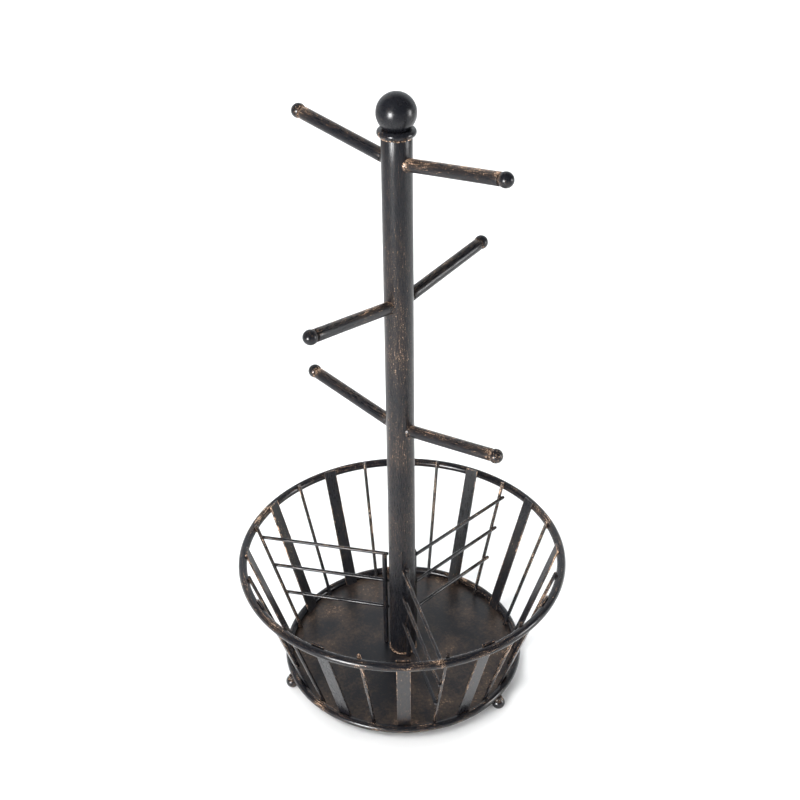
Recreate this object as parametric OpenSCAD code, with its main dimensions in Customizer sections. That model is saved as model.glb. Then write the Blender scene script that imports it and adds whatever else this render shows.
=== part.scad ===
// Mug tree: a round steel post with three tiers of paired arms, standing in a
// flared wire basket that three dividers split into sectors. Millimetres, +Z up.
// The origin is on the post's axis, at the level of the table under the ball feet.

/* [Overall] */
// Height from the table to the top of the finial ball
overall_h = 436; // [360:1:530]
// Outside diameter of the basket across its rim ring
rim_d = 233; // [200:1:290]
// Outside diameter of the basket across its base ring
base_d = 176; // [140:1:190]
// Height of the rim ring's centre line above the table
rim_z = 98; // [80:1:125]

/* [Post and finial] */
// Outside diameter of the post tube
post_d = 19; // [16:0.5:25]
// Wall of the post tube
post_wall = 1.2; // [0.8:0.1:2]
// Diameter of the finial ball
finial_d = 24.4; // [20:0.2:32]
// Diameter of the flat that the finial ball is seated on
finial_seat_d = 16; // [12:0.2:18]
// Thickness of the round-edged collar under the finial ball
collar_h = 4.6; // [3:0.2:7]
// Width of the collar's flat face past the post, before its edge rounds off
collar_land = 0.1; // [0:0.1:2]

/* [Arms] */
// Diameter of an arm's rod
arm_d = 8.3; // [6:0.1:10]
// Length along an arm from the post's axis to the centre of its tip ball
arm_reach = 82; // [65:1:100]
// Diameter of the ball on an arm's tip
arm_tip_d = 9.5; // [8:0.1:14]
// Diameter of the turned-down neck behind the tip ball
arm_neck_d = 6.6; // [4:0.1:7.5]
// Length of that neck
arm_neck_l = 0.8; // [0.5:0.1:2]
// Distance of the top pair of arms below the top of the post tube
top_pair_drop = 17; // [12:1:30]
// Height of the lowest pair of arms above the rim ring
low_pair_above_rim = 108; // [80:1:150]
// Direction of each arm, seen from above, from +X towards +Y, in pairs from the top down
arm_turns = [138.5, -43, 47, 230.5, 137, -42.5];
// Angle that each arm rises above the horizontal, in the same order
arm_rises = [10, 8, 10, 8.5, 8.5, 10];

/* [Basket] */
// Diameter of the rim ring's rod
rim_rod_d = 6.2; // [4:0.1:8]
// Diameter of the base ring's rod
base_rod_d = 5.6; // [4:0.1:8]
// Number of flat straps, with one round wire midway between each two
strap_count = 12; // [9:3:12]
// Width of a strap
strap_w = 9.5; // [6:0.5:12]
// Thickness of a strap
strap_t = 1.3; // [1:0.1:2]
// Diameter of a wire
wire_d = 2.6; // [2:0.1:4]
// Thickness of the base plate
plate_t = 1; // [0.8:0.1:1.5]
// Depth of the base plate's top face below the base ring's centre line
plate_drop = 1.6; // [0:0.1:1.8]

/* [Dividers] */
// Number of rungs in a divider
rung_count = 3; // [2:1:4]
// Distance between rungs
rung_pitch = 25; // [18:1:26]
// Distance of the top rung below the rim ring's centre line
top_rung_drop = 7.5; // [6:0.5:15]
// Rise of each divider's rungs from the basket side to the post side
divider_rises = [1, 3, 1];
// Diameter of a rung
rung_d = 2.6; // [2:0.1:4]
// Diameter of the upright beside the post
upright_d = 3.6; // [3:0.1:5]
// Clear gap between an upright and the post
upright_gap = 1.6; // [0.8:0.1:4]
// Length of rung that shows past the basket wire
rung_overhang = 3; // [1:0.5:6]

/* [Feet and hardware] */
// Diameter of a ball foot
foot_d = 9.5; // [8:0.5:14]
// Distance of a foot's centre outside the base ring's centre line
foot_outset = 2.1; // [0:0.1:2.5]
// Thread diameter of the finial's stud and of the base screw
thread_d = 6; // [5:1:8]
// Length of the threaded plugs in the ends of the post
plug_h = 8.4; // [6:0.2:14]
// Depth of the threaded hole in the finial ball
ball_thread_h = 9; // [6:0.5:12]
// Outside diameter of the washer under the base plate
washer_d = 13; // [11:0.5:20]
// Thickness of that washer
washer_t = 1.2; // [0.8:0.1:1.6]
// Height of the base screw's hexagonal head
head_h = 3.8; // [3:0.1:5]
// Width of that head across its flats
head_w = 10; // [8:0.5:13]

/* [Hidden] */
$fn = 96;
eps = 0.01;
overcut = 1;
foot_count = 3;

STRAPS = [for (i = [1:strap_count]) str("strap_", i)];
WIRES = [for (i = [1:strap_count]) str("wire_", i)];
ARMS = [for (i = [1:len(arm_turns)]) str("arm_", i)];
TIPS = [for (i = [1:len(arm_turns)]) str("arm_tip_", i)];
UPRIGHTS = [for (i = [1:len(divider_rises)]) str("divider_upright_", i)];
RUNGS = [for (i = [1:len(divider_rises)]) str("divider_rungs_", i)];
FEET = [for (i = [1:foot_count]) str("foot_", i)];

// Finish colours
BRONZE = "#2b2724";
COPPER = "#6b4630";
ZINC = "#b8bcc0";

// Ring centre lines
rim_rod_r = rim_rod_d / 2;
base_rod_r = base_rod_d / 2;
rim_r = rim_d / 2 - rim_rod_r;
base_r = base_d / 2 - base_rod_r;

// Feet: each ball is sunk into the base ring where it is welded
foot_r = foot_d / 2;
foot_weld = 0.9;
foot_turn = -39;
foot_centre_r = base_r + foot_outset;
base_z = foot_r + sqrt(pow(base_rod_r + foot_r - foot_weld, 2) - pow(foot_outset, 2));

// Base plate: its edge is welded into the lower inside of the base ring
plate_under_ring = 1.2;
plate_top = base_z - plate_drop;
plate_r = base_r - plate_under_ring;

// Post, plugs, finial and base screw
post_r = post_d / 2;
post_bore_r = post_r - post_wall;
thread_r = thread_d / 2;
thread_play = 0.05;
hole_play = 0.3;
clearance_hole_r = thread_r + hole_play;
stud_end_gap = 0.5;
collar_edge_r = collar_h / 2;
collar_r = post_r + collar_land + collar_edge_r;
finial_r = finial_d / 2;
finial_z = overall_h - finial_r;
collar_top = finial_z - sqrt(pow(finial_r, 2) - pow(finial_seat_d / 2, 2));
post_top = collar_top - collar_h;
washer_z = plate_top - plate_t - washer_t;

// Arms
arm_r = arm_d / 2;
arm_tip_r = arm_tip_d / 2;
arm_neck_r = arm_neck_d / 2;
tip_lip = 0.5;
tip_face = sqrt(pow(arm_tip_r, 2) - pow(arm_neck_r + tip_lip, 2));
pair_count = len(arm_turns) / 2;
top_pair_z = post_top - top_pair_drop;
pair_pitch = (top_pair_z - rim_z - low_pair_above_rim) / (pair_count - 1);
function arm_z(i) = top_pair_z - floor((i - 1) / 2) * pair_pitch;

// Struts lie against the inside of both rings, sunk a little where they are welded
strut_weld = 0.3;
strut_peek = 3.2;
strut_tail = 2 * base_rod_r;
ring_span = norm([rim_r - base_r, rim_z - base_z]);
ring_lean = atan2(rim_r - base_r, rim_z - base_z);
strut_lean = ring_lean - asin((rim_rod_r - base_rod_r) / ring_span);
strut_l = ring_span * cos(ring_lean - strut_lean) + strut_peek;
function base_offset(t) = base_rod_r + t / 2 - strut_weld;
function strut_foot_r(t) = base_r - base_offset(t) * cos(strut_lean);
function strut_foot_z(t) = base_z + base_offset(t) * sin(strut_lean);
function strut_r_at(z, t) = strut_foot_r(t) + (z - strut_foot_z(t)) * tan(strut_lean);
strap_turn = 360 / strap_count;

// The dividers reach to three evenly spaced wires; their rungs lie on one side of wire and upright
divider_count = len(divider_rises);
first_divider_wire = 2;
divider_wires = [for (d = [0:divider_count - 1]) first_divider_wire + d * strap_count / divider_count];
weld_sink = 0.2;
rung_r = rung_d / 2;
wire_r = wire_d / 2;
upright_r = upright_d / 2;
rung_side = rung_r + wire_r - weld_sink;
upright_side = rung_side - (rung_r + upright_r - weld_sink);
upright_at = post_r + upright_gap + upright_r;
rung_stub = 0.4;
rung_inset = upright_r + rung_stub;
upright_peek = 2.6;
function wire_angle(i) = (i - 0.5) * strap_turn;
function rung_z(k) = rim_z - top_rung_drop - (k - 1) * rung_pitch;
function rung_span(k) = strut_r_at(rung_z(k), wire_d) - upright_at;
function rung_slope(d) = atan2(divider_rises[d - 1], rung_span(1));

// Rod along +X with rounded ends, from x = a to x = b
module rod_x(a, b, r) {
    translate([a + r, 0, 0]) rotate([0, 90, 0]) cylinder(r = r, h = b - a - 2 * r);
    for (x = [a + r, b - r]) translate([x, 0, 0]) sphere(r = r);
}

module ring_solid(centre_r, rod_r, z) {
    translate([0, 0, z]) rotate_extrude() translate([centre_r, 0]) circle(r = rod_r);
}

module rings() {
    ring_solid(rim_r, rim_rod_r, rim_z);
    ring_solid(base_r, base_rod_r, base_z);
}

module post() {
    color(BRONZE) translate([0, 0, plate_top]) difference() {
        cylinder(r = post_r, h = post_top - plate_top);
        translate([0, 0, -overcut]) cylinder(r = post_bore_r, h = post_top - plate_top + 2 * overcut);
    }
}

module finial_ball() {
    color(BRONZE) translate([0, 0, finial_z]) difference() {
        sphere(r = finial_r);
        translate([0, 0, collar_top - finial_z - finial_r]) cube(2 * finial_r, center = true);
        translate([0, 0, collar_top - finial_z - overcut])
            cylinder(r = thread_r + thread_play, h = ball_thread_h + overcut);
    }
}

module finial_collar() {
    color(BRONZE) translate([0, 0, post_top + collar_edge_r]) difference() {
        rotate_extrude() union() {
            translate([thread_r, -collar_edge_r]) square([collar_r - collar_edge_r - thread_r, collar_h]);
            translate([collar_r - collar_edge_r, 0]) circle(r = collar_edge_r);
        }
        cylinder(r = clearance_hole_r, h = collar_h + overcut, center = true);
    }
}

module finial_stud() {
    color(ZINC) translate([0, 0, post_top - plug_h])
        cylinder(r = thread_r, h = plug_h + collar_h + ball_thread_h - stud_end_gap);
}

module plug(z) {
    color(ZINC) translate([0, 0, z]) difference() {
        cylinder(r = post_bore_r, h = plug_h);
        translate([0, 0, -overcut]) cylinder(r = thread_r + thread_play, h = plug_h + 2 * overcut);
    }
}

// Turns what is drawn along +Z from the post's axis into the place of one arm
module place_arm(i) {
    translate([0, 0, arm_z(i)]) rotate([0, 0, arm_turns[i - 1]]) rotate([0, 90 - arm_rises[i - 1], 0])
        children();
}

// One arm: a rod coped to the post, with a turned-down neck at its tip
module arm(i) {
    color(BRONZE) difference() {
        place_arm(i) {
            cylinder(r = arm_r, h = arm_reach - tip_face - arm_neck_l);
            cylinder(r = arm_neck_r, h = arm_reach - tip_face);
        }
        translate([0, 0, arm_z(i)]) cylinder(r = post_r, h = 4 * post_r, center = true);
    }
}

module arm_tip(i) {
    color(COPPER) place_arm(i) translate([0, 0, arm_reach]) difference() {
        sphere(r = arm_tip_r);
        translate([0, 0, -tip_face - arm_tip_r]) cube(2 * arm_tip_r, center = true);
    }
}

module rim_ring() {
    color(BRONZE) ring_solid(rim_r, rim_rod_r, rim_z);
}

module base_ring() {
    color(BRONZE) ring_solid(base_r, base_rod_r, base_z);
}

module base_plate() {
    color(BRONZE) difference() {
        translate([0, 0, plate_top - plate_t]) cylinder(r = plate_r, h = plate_t);
        translate([0, 0, plate_top - plate_t - overcut])
            cylinder(r = clearance_hole_r, h = plate_t + 2 * overcut);
        ring_solid(base_r, base_rod_r, base_z);
    }
}

// Places a strut drawn upright from its tangent point at the base ring, and trims it to the plate and rings
module strut(angle, t) {
    difference() {
        rotate([0, 0, angle]) translate([strut_foot_r(t), 0, strut_foot_z(t)])
            rotate([0, strut_lean, 0]) children();
        translate([0, 0, plate_top - base_r]) cube(2 * base_r, center = true);
        rings();
    }
}

module strap(i) {
    color(BRONZE) strut((i - 1) * strap_turn, strap_t)
        translate([-strap_t / 2, -strap_w / 2, -strut_tail]) cube([strap_t, strap_w, strut_l + strut_tail]);
}

module wire(i) {
    color(COPPER) strut(wire_angle(i), wire_d)
        translate([0, 0, -strut_tail]) cylinder(r = wire_r, h = strut_l + strut_tail);
}

module divider_upright(d) {
    top = rung_z(1) + divider_rises[d - 1] + upright_peek;
    color(BRONZE) rotate([0, 0, wire_angle(divider_wires[d - 1])]) translate([upright_at, -upright_side, 0]) {
        translate([0, 0, plate_top]) cylinder(r = upright_r, h = top - upright_r - plate_top);
        translate([0, 0, top - upright_r]) sphere(r = upright_r);
    }
}

// The rungs of one divider, notched where they are welded to the upright and to the wire
module divider_rungs(d) {
    w = divider_wires[d - 1];
    color(COPPER) difference() {
        rotate([0, 0, wire_angle(w)])
            for (k = [1:rung_count])
                translate([upright_at, -rung_side, rung_z(k) + divider_rises[d - 1]])
                    rotate([0, rung_slope(d), 0]) rod_x(-rung_inset, rung_span(k) + rung_overhang, rung_r);
        wire(w);
        divider_upright(d);
    }
}

module foot(i) {
    color(COPPER) difference() {
        rotate([0, 0, foot_turn + (i - 1) * 360 / foot_count]) translate([foot_centre_r, 0, foot_r])
            sphere(r = foot_r);
        ring_solid(base_r, base_rod_r, base_z);
    }
}

module base_screw() {
    color(ZINC) translate([0, 0, washer_z]) {
        translate([0, 0, -head_h]) cylinder(d = head_w / cos(30), h = head_h, $fn = 6);
        translate([0, 0, -eps]) cylinder(r = thread_r, h = plug_h + plate_t + washer_t + eps);
    }
}

module base_washer() {
    color(ZINC) translate([0, 0, washer_z]) difference() {
        cylinder(d = washer_d, h = washer_t);
        translate([0, 0, -overcut]) cylinder(r = clearance_hole_r, h = washer_t + 2 * overcut);
    }
}

post();
finial_ball();
finial_collar();
finial_stud();
plug(post_top - plug_h);  // post_top_plug
plug(plate_top);  // post_foot_plug
for (i = [1:len(ARMS)]) arm(i);
for (i = [1:len(TIPS)]) arm_tip(i);
rim_ring();
base_ring();
base_plate();
for (i = [1:len(STRAPS)]) strap(i);
for (i = [1:len(WIRES)]) wire(i);
for (i = [1:len(UPRIGHTS)]) divider_upright(i);
for (i = [1:len(RUNGS)]) divider_rungs(i);
for (i = [1:len(FEET)]) foot(i);
base_screw();
base_washer();
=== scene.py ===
import math
import random

import bmesh
import bpy
from mathutils import Matrix, Vector


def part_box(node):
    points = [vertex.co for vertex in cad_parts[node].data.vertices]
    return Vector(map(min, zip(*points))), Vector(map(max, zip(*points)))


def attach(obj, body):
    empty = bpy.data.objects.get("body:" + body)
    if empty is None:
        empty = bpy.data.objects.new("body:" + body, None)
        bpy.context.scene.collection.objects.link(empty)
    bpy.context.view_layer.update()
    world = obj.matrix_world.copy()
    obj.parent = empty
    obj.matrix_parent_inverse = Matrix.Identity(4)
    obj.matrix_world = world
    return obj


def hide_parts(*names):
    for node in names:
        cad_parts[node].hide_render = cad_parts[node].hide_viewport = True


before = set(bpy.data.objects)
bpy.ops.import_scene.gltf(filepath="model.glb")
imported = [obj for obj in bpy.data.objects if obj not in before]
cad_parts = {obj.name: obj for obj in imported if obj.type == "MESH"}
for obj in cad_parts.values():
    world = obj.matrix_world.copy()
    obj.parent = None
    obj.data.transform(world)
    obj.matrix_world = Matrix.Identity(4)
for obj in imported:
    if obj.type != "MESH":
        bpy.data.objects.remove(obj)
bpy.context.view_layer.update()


# Base plate: a disc of thin sheet steel, punched for the post's screw, let into the lower inside of the
# base ring and welded all round. The whole stand is dipped in near-black semi-gloss lacquer over bronze,
# then rubbed back by hand, so that bronze comes through on edges, tops and weld spots.

class Value:
    """A shader socket that takes part in Python arithmetic: each operator adds one node."""

    def __init__(self, tree, socket):
        self.tree = tree
        self.socket = socket

    def join(self, operation, first, second):
        kind = "ShaderNodeVectorMath" if self.socket.type == "VECTOR" else "ShaderNodeMath"
        return add_node(self.tree, kind, {"operation": operation}, {0: first, 1: second})

    def __add__(self, other):
        return self.join("ADD", self, other)

    def __radd__(self, other):
        return self.join("ADD", other, self)

    def __sub__(self, other):
        return self.join("SUBTRACT", self, other)

    def __rsub__(self, other):
        return self.join("SUBTRACT", other, self)

    def __mul__(self, other):
        return self.join("MULTIPLY", self, other)

    def __rmul__(self, other):
        return self.join("MULTIPLY", other, self)


def add_node(tree, kind, settings, inputs, out=0):
    """Adds a node, with its settings first and then each input's value or link, and returns one output."""
    node = tree.nodes.new(kind)
    for name, setting in settings.items():
        setattr(node, name, setting)
    for key, given in inputs.items():
        if isinstance(given, Value):
            tree.links.new(given.socket, node.inputs[key])
        else:
            node.inputs[key].default_value = given
    return Value(tree, node.outputs[out])


def noise(tree, place, scale, detail=3.0, roughness=0.5):
    """Noise from 0 to 1 at a place in metres; scale is in features per metre."""
    inputs = {"Vector": place, "Scale": scale, "Detail": detail, "Roughness": roughness}
    return add_node(tree, "ShaderNodeTexNoise", {}, inputs)


def step(tree, given, low, high):
    """Rises smoothly from 0 where given is low to 1 where it is high."""
    settings = {"interpolation_type": "SMOOTHSTEP"}
    inputs = {"Value": given, "From Min": low, "From Max": high}
    return add_node(tree, "ShaderNodeMapRange", settings, inputs)


def mixed(tree, share, first, second):
    """A colour that goes from first to second as share goes from 0 to 1."""
    inputs = {0: share, 6: first, 7: second}
    return add_node(tree, "ShaderNodeMix", {"data_type": "RGBA"}, inputs, out=2)


LACQUER = (0.0066, 0.0070, 0.0090, 1)
BROWNED = (0.055, 0.038, 0.028, 1)
RAW_BRONZE = (0.92, 0.61, 0.41, 1)
LACQUER_IOR = 1.43
PATCHES_PER_METRE = 45
SPECKS_PER_METRE = 1900
DIMPLE_DEPTH = 0.00012


def rubbed_bronze(name, wear=0.0, matt=0.3, streak=0.1, pitch=1200, patchy=1.4, fine=1.0, dimple=0.6):
    """Lacquer over bronze, rubbed back as far as the rub_and_glint attribute says, with strokes along the
    grain.
    Where that attribute marks glints, the bare bronze is a painted highlight.

    wear adds to rub_and_glint all over, matt is the roughness to start from, and a small streak draws the
    strokes out. pitch is strokes per metre, and patchy, fine and dimple are the strengths of the broad
    patches, of the strokes and specks, and of the relief.
    """
    material = bpy.data.materials.new(name)
    material.use_nodes = True
    tree = material.node_tree
    shader = tree.nodes["Principled BSDF"]
    grain = add_node(tree, "ShaderNodeAttribute", {"attribute_name": "grain"}, {}, out="Vector")
    rub_and_glint = add_node(tree, "ShaderNodeAttribute", {"attribute_name": "rub_and_glint"}, {}, out="Fac")
    drawn_out = grain * (1.0, 1.0, streak)
    strokes = noise(tree, drawn_out, pitch, detail=3.0, roughness=0.6)
    patches = noise(tree, grain * (1.0, 1.0, 0.4), PATCHES_PER_METRE, detail=3.0)
    specks = noise(tree, grain, SPECKS_PER_METRE, detail=1.0)
    grit = (strokes - 0.5) * 2.0 + (specks - 0.5) * 1.6
    # Bare bronze is rubbing wear, and on the collar, its seam, the tip balls and the arm welds it is also a
    # painted highlight.
    rubbing_and_glint = rub_and_glint + wear + grit * fine + (patches - 0.5) * patchy
    thin = step(tree, rubbing_and_glint, 0.0, 0.55)
    bare = step(tree, rubbing_and_glint, 0.5, 0.85)
    colour = mixed(tree, bare, mixed(tree, thin, LACQUER, BROWNED), RAW_BRONZE)
    rough = (patches - 0.5) * 0.14 + (strokes - 0.5) * 0.2 + bare * 0.06 + matt
    height = specks * 0.4 + strokes * 0.9 - bare * 0.3
    relief = {"Strength": dimple, "Distance": DIMPLE_DEPTH, "Height": height}
    bump = add_node(tree, "ShaderNodeBump", {}, relief)
    shader.inputs["IOR"].default_value = LACQUER_IOR
    tree.links.new(colour.socket, shader.inputs["Base Color"])
    tree.links.new((bare * 0.8 + thin * 0.1).socket, shader.inputs["Metallic"])
    tree.links.new(rough.socket, shader.inputs["Roughness"])
    tree.links.new(bump.socket, shader.inputs["Normal"])
    return material


def alone(piece):
    """Makes piece the only selected object, and the active one."""
    bpy.ops.object.select_all(action="DESELECT")
    piece.select_set(True)
    bpy.context.view_layer.objects.active = piece


def pick(piece, kind, test):
    """In edit mode, selects the vertices, edges or faces of piece that pass test, and nothing else."""
    bpy.ops.mesh.select_mode(type=kind)
    bpy.ops.mesh.select_all(action="DESELECT")
    shape = bmesh.from_edit_mesh(piece.data)
    parts = {"VERT": shape.verts, "EDGE": shape.edges, "FACE": shape.faces}[kind]
    for part in parts:
        if test(part):
            part.select_set(True)
    shape.select_flush_mode()
    bmesh.update_edit_mesh(piece.data)


def settle(piece):
    """Puts the object's place and turn into its mesh."""
    alone(piece)
    bpy.ops.object.transform_apply(location=True, rotation=True, scale=True)


def stamp(piece, rub_and_glint_at, grain_at=None):
    """Writes rub_and_glint, by rub_and_glint_at of each vertex, and grain, a place whose Z runs along the
    piece.

    The grain is each vertex's place as drawn, unless grain_at works it out.
    """
    piece.data.attributes.new("grain", "FLOAT_VECTOR", "POINT")
    piece.data.attributes.new("rub_and_glint", "FLOAT", "POINT")
    grain = piece.data.attributes["grain"].data
    rub_and_glint = piece.data.attributes["rub_and_glint"].data
    for vertex in piece.data.vertices:
        grain[vertex.index].vector = grain_at(vertex.co) if grain_at else vertex.co
        rub_and_glint[vertex.index].value = rub_and_glint_at(vertex.co)


def finished(piece, material, slot, *nodes, angle=32):
    """Smooths a piece, gives it its finish, rides it on the stand and hides the CAD nodes it replaces."""
    alone(piece)
    bpy.ops.object.shade_smooth_by_angle(angle=math.radians(angle))
    piece.data.materials.clear()
    piece.data.materials.append(material)
    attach(piece, "root")
    if nodes:
        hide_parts(*nodes)


ALIGNED = 0.99
NEAR = 1e-5


def points_up(face):
    """True of a level face that looks up."""
    return face.normal.z > ALIGNED


def points_down(face):
    """True of a level face that looks down."""
    return face.normal.z < -ALIGNED


def rise_of(line):
    """Difference in height between an edge's two ends."""
    return abs(line.verts[0].co.z - line.verts[1].co.z)


def punched_disc(name, radius, hole_radius, bottom, top, edge):
    """A round plate with a hole at its centre and a rounded rim."""
    bpy.ops.object.select_all(action="DESELECT")
    place = (0, 0, (bottom + top) / 2)
    bpy.ops.mesh.primitive_cylinder_add(vertices=160, radius=radius, depth=top - bottom, location=place)
    disc = bpy.context.object
    disc.name = name
    settle(disc)
    bpy.ops.object.mode_set(mode="EDIT")
    pick(disc, "FACE", lambda face: points_up(face) or points_down(face))
    bpy.ops.mesh.inset(thickness=radius - hole_radius)
    bpy.ops.mesh.bridge_edge_loops()
    pick(disc, "EDGE", lambda line: all(v.co.xy.length > radius - NEAR for v in line.verts)
         and rise_of(line) < NEAR)
    bpy.ops.mesh.bevel(offset=edge, segments=3, affect="EDGES")
    bpy.ops.object.mode_set(mode="OBJECT")
    return disc


SCREW_HOLE_RADIUS = 0.0033
PLATE_EDGE = 0.0002
PLATE_RUBBED_BORDER = 0.004
plate_low, plate_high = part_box("base_plate")
plate_finish = rubbed_bronze("plate_bronze", wear=0.02, matt=0.36, streak=1.0, pitch=500, patchy=1.1,
                             fine=0.45, dimple=0.25)
base_disc = punched_disc("base_disc", plate_high.x, SCREW_HOLE_RADIUS, plate_low.z, plate_high.z,
                         PLATE_EDGE)
stamp(base_disc, lambda spot: 0.25 if spot.xy.length > plate_high.x - PLATE_RUBBED_BORDER else 0.0)
finished(base_disc, plate_finish, "antique_bronze", "base_plate")


# Base ring and rim ring: round mild-steel rod, rolled to a hoop and butt-welded at one spot.
# The joint stays as a slight swelling where the bronze shows.

JOINT_REACH = 1.2
JOINT_SWELL = 1.05
JOINT_RUBBED_REACH = 2.2
ring_finish = rubbed_bronze("ring_bronze", wear=-0.02, matt=0.22, patchy=2.0, dimple=0.45)


def hoop(name, node, joint_angle):
    """A rod hoop at the size and height of a CAD ring, with its butt weld at joint_angle.

    Returns the radius of its middle line, the rod's radius and the height of its middle.
    """
    low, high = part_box(node)
    rod_r = (high.z - low.z) / 2
    ring_r = high.x - rod_r
    middle = (low.z + high.z) / 2
    bpy.ops.object.select_all(action="DESELECT")
    bpy.ops.mesh.primitive_torus_add(major_segments=240, minor_segments=28, major_radius=ring_r,
                                     minor_radius=rod_r, location=(0, 0, middle))
    ring = bpy.context.object
    ring.name = name
    settle(ring)
    joint = Vector((math.cos(joint_angle), math.sin(joint_angle), 0)) * ring_r + Vector((0, 0, middle))
    bpy.ops.object.mode_set(mode="EDIT")
    pick(ring, "VERT", lambda vertex: (vertex.co - joint).length < rod_r * JOINT_REACH)
    bpy.ops.transform.resize(value=(JOINT_SWELL, JOINT_SWELL, JOINT_SWELL), center_override=joint)
    bpy.ops.object.mode_set(mode="OBJECT")

    def grain_at(spot):
        along = (math.atan2(spot.y, spot.x) - joint_angle) % math.tau
        return (spot.xy.length - ring_r, spot.z - middle, along * ring_r)

    def rub_and_glint_at(spot):
        near_joint = max(0.0, 1 - (spot - joint).length / (JOINT_RUBBED_REACH * rod_r))
        outwards = (spot.xy.length - ring_r) / rod_r
        upwards = (spot.z - middle) / rod_r
        return 0.65 * near_joint + 0.12 * max(outwards, upwards) - 0.05

    stamp(ring, rub_and_glint_at, grain_at)
    finished(ring, ring_finish, "antique_bronze", node)
    return ring_r, rod_r, middle


RIM_JOINT = math.radians(282)
BASE_JOINT = math.radians(98)
rim_r, rim_rod_r, rim_z = hoop("rim_hoop", "rim_ring", RIM_JOINT)
base_r, base_rod_r, base_z = hoop("base_hoop", "base_ring", BASE_JOINT)


# Straps: twelve flat steel strips that lean outwards inside the two rings, spot-welded to both.
# Each is cut square, with its foot trimmed level at the plate and its head showing above the rim.

STRUT_COUNT = 12
STRUT_TURN = math.tau / STRUT_COUNT
STRUT_PEEK = 0.0032
WELD_DEPTH = 0.0003
plate_top = plate_high.z
ring_span = math.hypot(rim_r - base_r, rim_z - base_z)
ring_lean = math.atan2(rim_r - base_r, rim_z - base_z)
strut_lean = ring_lean - math.asin((rim_rod_r - base_rod_r) / ring_span)
strut_length = ring_span * math.cos(ring_lean - strut_lean) + STRUT_PEEK
strut_tail = 2 * base_rod_r


def base_weld(thickness):
    """Radius and height of a strut's middle line where the strut is welded to the base ring."""
    offset = base_rod_r + thickness / 2 - WELD_DEPTH
    return base_r - offset * math.cos(strut_lean), base_z + offset * math.sin(strut_lean)


def lean_out(piece, thickness):
    """Leans an upright strut, drawn with its base weld at the origin, against both rings, and trims it."""
    weld_r, weld_z = base_weld(thickness)
    piece.rotation_euler = (0, strut_lean, 0)
    piece.location = (weld_r, 0, weld_z)
    settle(piece)
    bpy.ops.object.mode_set(mode="EDIT")
    bpy.ops.mesh.select_all(action="SELECT")
    bpy.ops.mesh.bisect(plane_co=(0, 0, plate_top), plane_no=(0, 0, 1), use_fill=True, clear_inner=True)
    bpy.ops.object.mode_set(mode="OBJECT")


def strut_radius(height, thickness):
    """Distance of a strut's middle line from the post's axis at a height."""
    weld_r, weld_z = base_weld(thickness)
    return weld_r + (height - weld_z) * math.tan(strut_lean)


dice = random.Random(41)


def duplicate(piece, name):
    """A copy with its own mesh and its grain moved elsewhere, so that no two copies are worn alike."""
    alone(piece)
    bpy.ops.object.duplicate(linked=False)
    copy = bpy.context.object
    copy.name = name
    copy.data.name = name
    shift = Vector((dice.uniform(-1, 1), dice.uniform(-1, 1), dice.uniform(-1, 1)))
    for item in copy.data.attributes["grain"].data:
        item.vector = Vector(item.vector) + shift
    return copy


STRAP_THICKNESS = 0.0013
STRAP_BORDER = 0.0011
STRAP_EDGE = 0.0003
STRAP_RUBBED_BORDER = 0.0008
strap_low, strap_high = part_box("strap_1")
strap_width = strap_high.y - strap_low.y
strap_finish = rubbed_bronze("strap_bronze", wear=-0.13, matt=0.3, streak=0.2, patchy=1.8)

bpy.ops.object.select_all(action="DESELECT")
bpy.ops.mesh.primitive_cube_add(size=1, location=(0, 0, (strut_length - strut_tail) / 2))
strap = bpy.context.object
strap.name = "strap_blank"
strap.scale = (STRAP_THICKNESS, strap_width, strut_length + strut_tail)
settle(strap)
bpy.ops.object.mode_set(mode="EDIT")
pick(strap, "EDGE", lambda line: rise_of(line) > strap_width)
bpy.ops.mesh.subdivide(number_cuts=9)
pick(strap, "FACE", lambda face: abs(face.normal.x) > ALIGNED)
bpy.ops.mesh.inset(thickness=STRAP_BORDER)
pick(strap, "EDGE", lambda line: line.calc_face_angle(0) > 1 and all(
    abs(abs(v.co.y) - strap_width / 2) < NEAR or v.co.z > strut_length - NEAR for v in line.verts))
bpy.ops.mesh.bevel(offset=STRAP_EDGE, segments=3, affect="EDGES")
bpy.ops.object.mode_set(mode="OBJECT")


def clamp(share):
    """Holds a share between 0 and 1."""
    return max(0.0, min(1.0, share))


def strap_rub(spot):
    """Rubbed along the long edges, more towards the head, and left dark on the faces and the cut end."""
    at_edge = abs(spot.y) > strap_width / 2 - STRAP_RUBBED_BORDER
    at_head = spot.z > strut_length - NEAR
    rubbed = 0.6 * (0.4 + 0.6 * clamp(spot.z / strut_length))
    return (rubbed if at_edge and not at_head else 0.0) - 0.08


stamp(strap, strap_rub)
lean_out(strap, STRAP_THICKNESS)
for i in range(1, STRUT_COUNT + 1):
    copy = duplicate(strap, f"strap_bar_{i}")
    copy.rotation_euler = (0, 0, (i - 1) * STRUT_TURN)
    settle(copy)
    finished(copy, strap_finish, "antique_bronze", f"strap_{i}")
bpy.data.objects.remove(strap)


# Wires: twelve round steel rods that stand midway between the straps, spot-welded to both rings.
# Hands and mugs brush them most, so the bronze shows along their upper halves.

WIRE_DIAMETER = 0.0026
WIRE_RUBBED_ABOVE = 0.45


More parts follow.
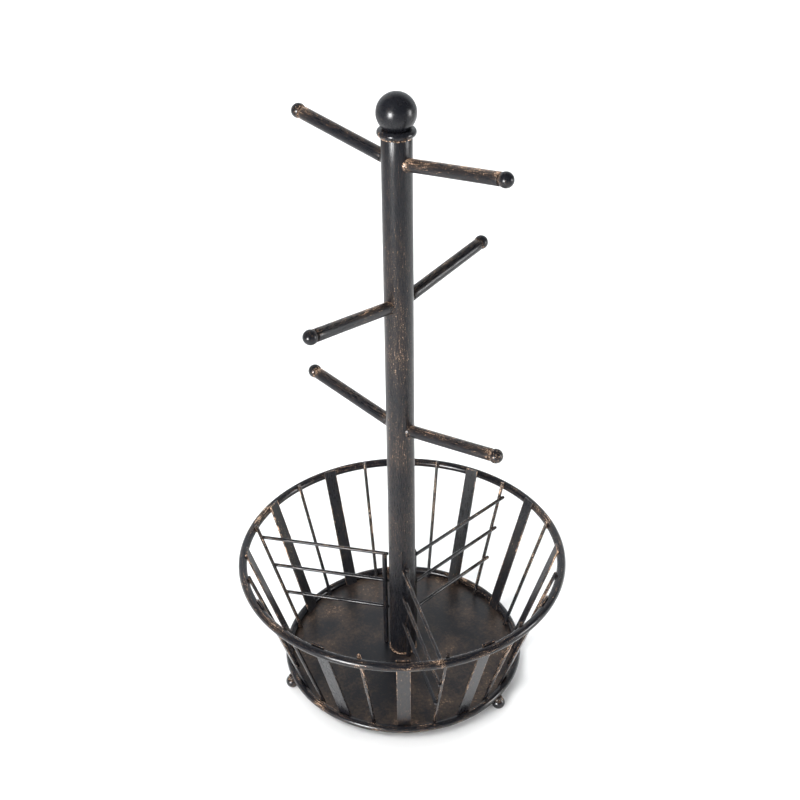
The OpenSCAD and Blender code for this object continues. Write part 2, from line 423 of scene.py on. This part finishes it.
def rod(name, radius, start, end, sides=20, dome=0.0003, rings=9, dome_steps=2):
    """A rod along Z from start to end, its ends rounded by dome and its length cut by rings loops."""
    bpy.ops.object.select_all(action="DESELECT")
    bpy.ops.mesh.primitive_cylinder_add(vertices=sides, radius=radius, depth=end - start,
                                        location=(0, 0, (start + end) / 2))
    piece = bpy.context.object
    piece.name = name
    settle(piece)
    bpy.ops.object.mode_set(mode="EDIT")
    pick(piece, "EDGE", lambda line: rise_of(line) > (end - start) / 2)
    bpy.ops.mesh.subdivide(number_cuts=rings)
    pick(piece, "EDGE", lambda line: line.calc_face_angle(0) > 1)
    bpy.ops.mesh.bevel(offset=dome, segments=dome_steps, affect="EDGES")
    bpy.ops.object.mode_set(mode="OBJECT")
    return piece


wire_finish = rubbed_bronze("wire_bronze", wear=-0.03, matt=0.25, patchy=1.5, dimple=0.4)
wire = rod("wire_blank", WIRE_DIAMETER / 2, -strut_tail, strut_length)
stamp(wire, lambda spot: 0.34 * clamp(spot.z / (WIRE_RUBBED_ABOVE * strut_length)) - 0.08)
lean_out(wire, WIRE_DIAMETER)
for i in range(1, STRUT_COUNT + 1):
    copy = duplicate(wire, f"wire_bar_{i}")
    copy.rotation_euler = (0, 0, (i - 0.5) * STRUT_TURN)
    settle(copy)
    finished(copy, wire_finish, "antique_bronze", f"wire_{i}")
bpy.data.objects.remove(wire)


# Spot welds: where a strut crosses a ring, a little metal is squeezed out beside it.
# Each is a small smooth nugget in the crevice, rubbed back a little further than the bars.

SPOT_WELD_REACH = 0.0009
SPOT_WELD_OVERLAP = 0.001
CROWN_TAPER = 0.8
weld_finish = rubbed_bronze("weld_bronze", wear=0.1, matt=0.26, streak=1.0, pitch=900, patchy=1.2)


def nugget(name, place, size, turn=(0, 0, 0)):
    """A small rounded bead of weld metal; size is its half-widths."""
    bpy.ops.object.select_all(action="DESELECT")
    bpy.ops.mesh.primitive_uv_sphere_add(segments=10, ring_count=7, radius=1)
    bead = bpy.context.object
    bead.name = name
    bead.scale = size
    settle(bead)
    bpy.ops.object.mode_set(mode="EDIT")
    pick(bead, "VERT", lambda vertex: vertex.co.z > 0)
    bpy.ops.transform.resize(value=(CROWN_TAPER, CROWN_TAPER, 1), center_override=(0, 0, 0))
    bpy.ops.object.mode_set(mode="OBJECT")
    bead.rotation_euler = turn
    bead.location = place
    settle(bead)
    stamp(bead, lambda spot: 0.1)
    return bead


def joined(pieces, name):
    """Joins pieces into one object."""
    bpy.ops.object.select_all(action="DESELECT")
    for piece in pieces:
        piece.select_set(True)
    bpy.context.view_layer.objects.active = pieces[0]
    bpy.ops.object.join()
    pieces[0].name = name
    return pieces[0]


def weld_pair(angle, height, thickness, width):
    """The two nuggets beside a strut at one ring, width apart."""
    radius = strut_radius(height, thickness) + thickness / 2 * math.cos(strut_lean)
    beads = []
    for side in (-1, 1):
        across = side * width / 2
        place = Matrix.Rotation(angle, 3, "Z") @ Vector((radius, across, height))
        size = (SPOT_WELD_REACH * 0.7, SPOT_WELD_REACH * 0.8, SPOT_WELD_REACH * dice.uniform(1.0, 1.5))
        beads.append(nugget("bead", place, size, (0, strut_lean, angle)))
    return beads


for name, height in (("rim_spot_welds", rim_z), ("base_spot_welds", base_z)):
    beads = []
    for i in range(STRUT_COUNT):
        beads += weld_pair(i * STRUT_TURN, height, STRAP_THICKNESS, strap_width - SPOT_WELD_OVERLAP)
        beads += weld_pair((i + 0.5) * STRUT_TURN, height, WIRE_DIAMETER, WIRE_DIAMETER * 0.75)
    finished(joined(beads, name), weld_finish, "antique_bronze", angle=60)


# Divider uprights: three plain steel rods with domed heads that stand on the plate, each just clear of
# the post. They carry the post end of the dividers' rungs.

DIVIDERS = (1, 2, 3)
DOME = 0.96
UPRIGHT_RUBBED_HEAD = 0.006
rung_finish = rubbed_bronze("rung_bronze", wear=-0.08, matt=0.22, dimple=0.3)
for d in DIVIDERS:
    low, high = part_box(f"divider_upright_{d}")
    radius = (high.x - low.x) / 2
    upright = rod(f"divider_post_{d}", radius, low.z, high.z, sides=24, dome=radius * DOME, dome_steps=6)
    stamp(upright, lambda spot: 0.22 if spot.z > high.z - UPRIGHT_RUBBED_HEAD else 0.02)
    upright.location = ((low.x + high.x) / 2, (low.y + high.y) / 2, 0)
    settle(upright)
    finished(upright, rung_finish, "antique_bronze", f"divider_upright_{d}")


# Divider rungs: nine thin round rods, three to a divider, laid across a basket wire and an upright
# and welded at both. Their ends run a little past each, and the bronze shows along their tops.

DIVIDER_WIRES = (2, 6, 10)
RUNGS = 3
RUNG_DIAMETER = 0.0026
RUNG_PITCH = 0.025
TOP_RUNG_DROP = 0.0075
RUNG_RISES = (0.001, 0.003, 0.001)
RUNG_OVERHANG = 0.003
RUNG_STUB = 0.0004
RUNG_SINK = 0.0002
RUNG_WELD = (0.0011, 0.0007, 0.0006)
rung_r = RUNG_DIAMETER / 2
wire_r = WIRE_DIAMETER / 2
rung_side = rung_r + wire_r - RUNG_SINK
upright_low, upright_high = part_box("divider_upright_1")
upright_r = (upright_high.x - upright_low.x) / 2
upright_middle = (upright_low + upright_high) / 2
upright_side = rung_side - (rung_r + upright_r - RUNG_SINK)
upright_at = math.sqrt(upright_middle.xy.length_squared - upright_side ** 2)
top_rung_z = rim_z - TOP_RUNG_DROP
top_span = strut_radius(top_rung_z, WIRE_DIAMETER) - upright_at


def rung_rub(spot):
    """Rubbed along its top, which is drawn towards -X."""
    return 0.1 if -spot.x > rung_r * 0.2 else -0.06


for d, number, rise in zip(DIVIDERS, DIVIDER_WIRES, RUNG_RISES):
    angle = (number - 0.5) * STRUT_TURN
    turn = Matrix.Rotation(angle, 3, "Z")
    slope = math.atan2(rise, top_span)
    rungs = []
    beads = []
    for k in range(RUNGS):
        height = top_rung_z - k * RUNG_PITCH
        span = strut_radius(height, WIRE_DIAMETER) - upright_at
        rung = rod("rung", rung_r, -upright_r - RUNG_STUB, span + RUNG_OVERHANG, sides=20,
                   dome=rung_r * DOME, dome_steps=5)
        stamp(rung, rung_rub, lambda spot: spot + Vector((0.1 * d, 0.1 * k, 0)))
        rung.rotation_euler = (0, math.pi / 2 + slope, angle)
        rung.location = turn @ Vector((upright_at, -rung_side, height + rise))
        settle(rung)
        rungs.append(rung)
        for along in (0, span):
            weld_z = height + rise - along * math.sin(slope)
            for lift in (-1, 1):
                place = turn @ Vector((along + upright_at, -rung_side + rung_r * 0.9,
                                       weld_z + lift * rung_r * 0.75))
                beads.append(nugget("bead", place, RUNG_WELD, (0, 0, angle)))
    finished(joined(rungs, f"divider_bars_{d}"), rung_finish, "antique_bronze", f"divider_rungs_{d}")
    finished(joined(beads, f"divider_spot_welds_{d}"), weld_finish, "antique_bronze", angle=60)


# Feet: three steel balls welded under the base ring, with the weld drawn up into a short neck.
# They lift the plate off the table.

FOOT_FLAT = 0.8
FOOT_RUBBED_ABOVE = 0.6
NECK_STEP = 0.0008
NECK_TAPER = 0.86
foot_finish = rubbed_bronze("foot_bronze", wear=-0.02, matt=0.2, streak=1.0, pitch=700)
for i in (1, 2, 3):
    low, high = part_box(f"foot_{i}")
    foot_r = (high.y - low.y) / 2
    centre = Vector(((low.x + high.x) / 2, (low.y + high.y) / 2, low.z + foot_r))
    bpy.ops.object.select_all(action="DESELECT")
    bpy.ops.mesh.primitive_uv_sphere_add(segments=40, ring_count=24, radius=foot_r)
    foot = bpy.context.object
    foot.name = f"ball_foot_{i}"
    bpy.ops.object.mode_set(mode="EDIT")
    bpy.ops.mesh.select_all(action="SELECT")
    bpy.ops.mesh.bisect(plane_co=(0, 0, foot_r * FOOT_FLAT), plane_no=(0, 0, 1), use_fill=True,
                        clear_outer=True)
    pick(foot, "FACE", points_up)
    bpy.ops.mesh.extrude_region_move(TRANSFORM_OT_translate={"value": (0, 0, NECK_STEP)})
    bpy.ops.transform.resize(value=(NECK_TAPER, NECK_TAPER, 1), center_override=(0, 0, foot_r))
    bpy.ops.mesh.extrude_region_move(TRANSFORM_OT_translate={"value": (0, 0, NECK_STEP)})
    bpy.ops.object.mode_set(mode="OBJECT")
    stamp(foot, lambda spot: 0.3 if spot.z > foot_r * FOOT_RUBBED_ABOVE else -0.02)
    inward = -centre.xy.normalized()
    foot.rotation_euler = (0, 0, math.atan2(inward.y, inward.x))
    foot.location = centre
    settle(foot)
    finished(foot, foot_finish, "antique_bronze", f"foot_{i}", angle=50)


# Post: one length of drawn steel tube, held to the plate by a screw from below and closed by the finial.
# The rubbing follows the tube, strongest at mid-height, and the weld round its foot is left bright.

post_low, post_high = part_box("post")
post_r = post_high.x
POST_EDGE = 0.0004
post_finish = rubbed_bronze("post_bronze", wear=-0.08, matt=0.29, streak=0.07, pitch=2600, patchy=1.2,
                            dimple=0.4)
post = rod("post_tube", post_r, post_low.z, post_high.z, sides=96, dome=POST_EDGE, rings=24)


def post_rub(spot):
    """Rubbed a little at mid-height, and left dark at both ends."""
    share = (spot.z - post_low.z) / (post_high.z - post_low.z)
    return 0.14 * math.sin(math.pi * clamp(share)) - 0.05


stamp(post, post_rub)
finished(post, post_finish, "antique_bronze", "post")


BEAD_LIFT = 0.0001


def bead_ring(name, thickness, height, seed):
    """An uneven fillet of weld metal round the post; seed sets its unevenness."""
    bpy.ops.object.select_all(action="DESELECT")
    bpy.ops.mesh.primitive_torus_add(major_segments=96, minor_segments=12, minor_radius=thickness,
                                     major_radius=post_r + BEAD_LIFT, location=(0, 0, height))
    ring = bpy.context.object
    ring.name = name
    settle(ring)
    bpy.ops.object.mode_set(mode="EDIT")
    bpy.ops.mesh.select_all(action="SELECT")
    bpy.ops.transform.vertex_random(offset=thickness * 0.12, seed=seed)
    bpy.ops.mesh.vertices_smooth(factor=0.5, repeat=2)
    bpy.ops.object.mode_set(mode="OBJECT")
    # The bead is bright bronze all over: rubbed weld metal, and on the collar seam also a painted highlight
    # for its glints.
    stamp(ring, lambda spot: 0.5)
    finished(ring, weld_finish, "antique_bronze", angle=70)


bead_ring("post_foot_weld", thickness=0.0009, height=plate_top + BEAD_LIFT, seed=3)
bead_ring("collar_seam", thickness=0.0005, height=post_high.z - POST_EDGE, seed=5)


# Arms: six straight rods in three opposed pairs, coped to the post and welded, with the fillet drawn
# out on to the rod. Each is turned down to a neck where its tip ball is welded on.

ARM_DIAMETER = 0.0083
ARM_NECK_DIAMETER = 0.0066
ARM_NECK_LENGTH = 0.0008
ARM_NECK_SINK = 0.0003
ARM_EDGE = 0.0004
ARM_ROOT_GAP = 0.0016
ARM_REACH = 0.082
ARM_RISES = (10, 8, 10, 8.5, 8.5, 10)
TIP_DIAMETER = 0.0095
TIP_LIP = 0.0005
TIP_EDGE = 0.0003
FILLET = ((0.0006, 1.03), (0.0006, 1.07), (0.0006, 1.08), (0.0010, 1.06), (0.0012, 1.03))
FILLET_RIPPLE = 0.00008
FILLET_RIPPLE_FROM = 0.0005
ARM_WELD_RUBBED = 0.003
ARM_TIP_RUBBED = 0.002
arm_finish = rubbed_bronze("arm_bronze", wear=-0.04, matt=0.3, streak=0.12, pitch=1600)
tip_finish = rubbed_bronze("tip_bronze", wear=0.02, matt=0.24, streak=1.0, pitch=900, dimple=0.3)
tip_r = TIP_DIAMETER / 2
tip_face = math.sqrt(tip_r ** 2 - (ARM_NECK_DIAMETER / 2 + TIP_LIP) ** 2)
root_z = post_r + ARM_ROOT_GAP
neck_start = ARM_REACH - tip_face - ARM_NECK_LENGTH

arm = rod("arm_blank", ARM_DIAMETER / 2, root_z, neck_start, sides=40, dome=ARM_EDGE, rings=12)
bpy.ops.object.mode_set(mode="EDIT")
pick(arm, "FACE", points_up)
bpy.ops.mesh.inset(thickness=(ARM_DIAMETER - ARM_NECK_DIAMETER) / 2 - ARM_EDGE)
bpy.ops.mesh.extrude_region_move(TRANSFORM_OT_translate={"value": (0, 0, ARM_NECK_LENGTH + ARM_NECK_SINK)})
pick(arm, "FACE", points_down)
level = root_z
for length, growth in FILLET:
    level -= length
    bpy.ops.mesh.extrude_region_move(TRANSFORM_OT_translate={"value": (0, 0, -length)})
    bpy.ops.transform.resize(value=(growth, growth, 1), center_override=(0, 0, level))
pick(arm, "VERT", lambda vertex: vertex.co.z < root_z - FILLET_RIPPLE_FROM)
bpy.ops.transform.vertex_random(offset=FILLET_RIPPLE, seed=9)
bpy.ops.object.mode_set(mode="OBJECT")


def arm_rub_and_glint(spot):
    """Rubbed just behind the ball and along the top, and at the weld, where it is also a painted highlight.
    """
    # The weld term is partly a painted highlight: bright bronze where the weld glints.
    weld = max(0.0, 1 - max(0.0, spot.z - root_z) / ARM_WELD_RUBBED)
    tip = max(0.0, 1 - (neck_start - spot.z) / ARM_TIP_RUBBED)
    top = max(0.0, -2 * spot.x / ARM_DIAMETER) ** 2
    return 0.28 * weld + 0.36 * tip + 0.36 * top - 0.08


stamp(arm, arm_rub_and_glint)

bpy.ops.object.select_all(action="DESELECT")
bpy.ops.mesh.primitive_uv_sphere_add(segments=40, ring_count=24, radius=tip_r)
tip = bpy.context.object
bpy.ops.object.mode_set(mode="EDIT")
bpy.ops.mesh.select_all(action="SELECT")
bpy.ops.mesh.bisect(plane_co=(0, 0, -tip_face), plane_no=(0, 0, 1), use_fill=True, clear_inner=True)
pick(tip, "EDGE", lambda line: line.calc_face_angle(0) > 0.5)
bpy.ops.mesh.bevel(offset=TIP_EDGE, segments=2, affect="EDGES")
bpy.ops.object.mode_set(mode="OBJECT")
tip.location = (0, 0, ARM_REACH)
settle(tip)
# Bronze grows towards the neck: rubbing, and also a painted highlight for the copper-tinted glint on the
# neck side.
stamp(tip, lambda spot: 0.55 * clamp((ARM_REACH - spot.z) / tip_face) - 0.05)


def tip_centre(low, high):
    """A tip ball's centre along one axis, from its outer side, because its inner side is cut flat."""
    return high - tip_r if high > -low else low + tip_r


for i, rise_degrees in enumerate(ARM_RISES, start=1):
    tip_low, tip_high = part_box(f"arm_tip_{i}")
    turn = math.atan2(tip_centre(tip_low.y, tip_high.y), tip_centre(tip_low.x, tip_high.x))
    rise = math.radians(rise_degrees)
    root_height = tip_high.z - tip_r - ARM_REACH * math.sin(rise)
    for blank, name, node, finish in ((arm, f"arm_bar_{i}", f"arm_{i}", arm_finish),
                                      (tip, f"arm_ball_{i}", f"arm_tip_{i}", tip_finish)):
        copy = duplicate(blank, name)
        copy.rotation_euler = (0, math.pi / 2 - rise, turn)
        copy.location = (0, 0, root_height)
        settle(copy)
        finished(copy, finish, "antique_bronze", node, angle=40)
bpy.data.objects.remove(arm)
bpy.data.objects.remove(tip)


# Finial: a turned collar with a full-round edge under a steel ball, both drawn down on the post's
# top plug by a stud. The ball is sprayed a smoother, glossier black than the rest.

FULL_ROUND = 0.49
collar_low, collar_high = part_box("finial_collar")
collar_thickness = collar_high.z - collar_low.z
collar_finish = rubbed_bronze("collar_bronze", wear=-0.12, matt=0.2, streak=1.0, pitch=600)
collar = rod("collar_ring", collar_high.x, collar_low.z, collar_high.z, sides=96,
             dome=collar_thickness * FULL_ROUND, rings=1, dome_steps=8)
# Bronze grows towards the lower edge: rubbing, and also a painted highlight for the glints along that edge.
stamp(collar, lambda spot: 0.4 * max(0.0, (collar_high.z - spot.z) / collar_thickness))
finished(collar, collar_finish, "antique_bronze", "finial_collar")

BALL_EDGE = 0.0005
ball_low, ball_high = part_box("finial_ball")
ball_r = (ball_high.x - ball_low.x) / 2
ball_finish = rubbed_bronze("finial_lacquer", wear=-0.3, matt=0.27, streak=1.0, pitch=250, patchy=0.8,
                            dimple=0.15)
bpy.ops.object.select_all(action="DESELECT")
bpy.ops.mesh.primitive_uv_sphere_add(segments=96, ring_count=64, radius=ball_r,
                                     location=(0, 0, ball_high.z - ball_r))
ball = bpy.context.object
ball.name = "finial_globe"
settle(ball)
bpy.ops.object.mode_set(mode="EDIT")
bpy.ops.mesh.select_all(action="SELECT")
bpy.ops.mesh.bisect(plane_co=(0, 0, ball_low.z), plane_no=(0, 0, 1), use_fill=True, clear_inner=True)
pick(ball, "EDGE", lambda line: line.calc_face_angle(0) > 0.4)
bpy.ops.mesh.bevel(offset=BALL_EDGE, segments=3, affect="EDGES")
bpy.ops.object.mode_set(mode="OBJECT")
stamp(ball, lambda spot: 0.0)
finished(ball, ball_finish, "finial_black", "finial_ball")


# Hidden hardware: a zinc-plated stud and two threaded plugs inside the post, and the hexagonal screw
# and washer that clamp the post to the plate from below.

ZINC_DULL = (0.52, 0.53, 0.55, 1)
ZINC_BRIGHT = (0.70, 0.71, 0.72, 1)


def zinc_plate(name):
    """Bright zinc plating, slightly mottled."""
    material = bpy.data.materials.new(name)
    material.use_nodes = True
    tree = material.node_tree
    shader = tree.nodes["Principled BSDF"]
    place = add_node(tree, "ShaderNodeTexCoord", {}, {}, out="Object")
    mottle = noise(tree, place, 350, detail=3.0)
    turned = noise(tree, place * (1.0, 1.0, 12.0), 400, detail=2.0)
    colour = mixed(tree, mottle, ZINC_DULL, ZINC_BRIGHT)
    bump = add_node(tree, "ShaderNodeBump", {}, {"Strength": 0.2, "Distance": 0.0001, "Height": turned})
    shader.inputs["Metallic"].default_value = 1.0
    tree.links.new(colour.socket, shader.inputs["Base Color"])
    tree.links.new((mottle * 0.15 + 0.26).socket, shader.inputs["Roughness"])
    tree.links.new(bump.socket, shader.inputs["Normal"])
    return material


zinc = zinc_plate("zinc_plate")
for node in ("finial_stud", "post_top_plug", "post_foot_plug"):
    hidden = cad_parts[node]
    hidden.data.materials.clear()
    hidden.data.materials.append(zinc)

WASHER_EDGE = 0.0003
washer_low, washer_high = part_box("base_washer")
washer = punched_disc("screw_washer", washer_high.x, SCREW_HOLE_RADIUS, washer_low.z, washer_high.z,
                      WASHER_EDGE)
finished(washer, zinc, "zinc_hardware", "base_washer")

SCREW_THREAD_RADIUS = 0.003
HEAD_BORDER = 0.0008
HEAD_EDGE = 0.0003
SHANK_LAP = 0.0001
THREAD_END = 0.0006
screw_low, screw_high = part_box("base_screw")
head_top = washer_low.z
head_corner_r = max(screw_high.x, screw_high.y)
bpy.ops.object.select_all(action="DESELECT")
bpy.ops.mesh.primitive_cylinder_add(vertices=6, radius=head_corner_r, depth=head_top - screw_low.z,
                                    location=(0, 0, (head_top + screw_low.z) / 2))
head = bpy.context.object
if screw_high.x > screw_high.y:
    head.rotation_euler = (0, 0, math.pi / 6)
settle(head)
bpy.ops.object.mode_set(mode="EDIT")
pick(head, "FACE", points_down)
bpy.ops.mesh.inset(thickness=HEAD_BORDER)
pick(head, "EDGE", lambda line: line.calc_face_angle(0) > 0.9)
bpy.ops.mesh.bevel(offset=HEAD_EDGE, segments=3, affect="EDGES")
bpy.ops.object.mode_set(mode="OBJECT")
shank = rod("shank", SCREW_THREAD_RADIUS, head_top - SHANK_LAP, screw_high.z, sides=32,
            dome=THREAD_END, rings=4)
finished(joined([head, shank], "hex_screw"), zinc, "zinc_hardware", "base_screw")


# Table: a flat board painted matt white, which the three feet stand on. It isn't part of the stand,
# and it fills the camera's view on every side.

TABLE_SIZE = 14
TABLE_WHITE = (0.86, 0.86, 0.86, 1)
TABLE_ROUGHNESS = 0.6
bpy.ops.object.select_all(action="DESELECT")
bpy.ops.mesh.primitive_plane_add(size=TABLE_SIZE, location=(0, 0, 0))
table = bpy.context.object
table.name = "table"
table_paint = bpy.data.materials.new("table_white")
table_paint.use_nodes = True
paint = table_paint.node_tree.nodes["Principled BSDF"]
paint.inputs["Base Color"].default_value = TABLE_WHITE
paint.inputs["Roughness"].default_value = TABLE_ROUGHNESS
table.data.materials.append(table_paint)


# Studio: a pale surround that is brightest behind the stand, a gridded soft box low at the front left
# and a smaller one at the right. A gridded box overhead and two wide panels light the table.

def soft_box(name, place, target, width, height, power, spread=180, glossy=True):
    """A rectangular light at place that faces target, with a grid that holds its beam to spread degrees."""
    data = bpy.data.lights.new(name, "AREA")
    data.shape = "RECTANGLE"
    data.size = width
    data.size_y = height
    data.energy = power
    data.spread = math.radians(spread)
    box = bpy.data.objects.new(name, data)
    bpy.context.scene.collection.objects.link(box)
    box.location = place
    box.rotation_euler = (Vector(target) - Vector(place)).to_track_quat("-Z", "Y").to_euler()
    box.visible_glossy = glossy


MIDDLE = (0, 0, 0.28)
soft_box("key_box", (-1.2, -1.79, 0.44), MIDDLE, width=0.65, height=0.95, power=5.4, spread=40)
soft_box("side_box", (1.95, -0.35, 0.45), MIDDLE, width=0.45, height=0.7, power=16)
soft_box("overhead", (-0.8, -1.0, 2.0), (0, 0.12, 0), width=1.2, height=1.2, power=5.0, spread=45,
         glossy=False)
soft_box("back_wash", (0.4, 1.7, 1.3), (0.4, 1.7, 0), width=3.2, height=2.0, power=50, glossy=False)
soft_box("room_fill", (0, -0.5, 3.6), (0, -0.5, 0), width=11, height=9, power=105, glossy=False)

NO_LIGHT = (0.0, 0.0, 0.0, 1)
COOL_WHITE = (0.92, 0.96, 1.0, 1)
BACK_GLOW = 1.5
HORIZON_GLOW = 0.5
ROOM_GLOW = 0.07

surround = bpy.data.worlds.new("surround")
bpy.context.scene.world = surround
surround.use_nodes = True
sky = surround.node_tree
direction = add_node(sky, "ShaderNodeTexCoord", {}, {}, out="Generated")
parts = add_node(sky, "ShaderNodeSeparateXYZ", {}, {0: direction}).socket.node.outputs
forward = Value(sky, parts[1])
upward = Value(sky, parts[2])
behind = step(sky, forward * 0.9 - upward * 0.25, 0.0, 0.75)
horizon = 1 - step(sky, upward, 0.06, 0.2)
brightness = behind * BACK_GLOW + horizon * HORIZON_GLOW + ROOM_GLOW
glow = mixed(sky, brightness, NO_LIGHT, COOL_WHITE)
sky.links.new(glow.socket, sky.nodes["Background"].inputs["Color"])
bpy.context.scene.view_settings.view_transform = "Standard"


# Camera: a short telephoto in front of the stand and above its finial, looking down into the basket.
# It leans over by less than a degree.

CAMERA_PLACE = (0, -0.68715, 0.66363)
CAMERA_TILT = math.radians(90 - 32.367)
CAMERA_ROLL = math.radians(-0.74)
CAMERA_SENSOR = 36
CAMERA_LENS = 55.487
camera = bpy.data.objects.new("camera", bpy.data.cameras.new("camera"))
bpy.context.scene.collection.objects.link(camera)
camera.data.sensor_width = CAMERA_SENSOR
camera.data.lens = CAMERA_LENS
camera.rotation_mode = "QUATERNION"
turned = Matrix.Rotation(CAMERA_TILT, 4, "X") @ Matrix.Rotation(CAMERA_ROLL, 4, "Z")
camera.location = CAMERA_PLACE
camera.rotation_quaternion = turned.to_quaternion()
bpy.context.scene.camera = camera
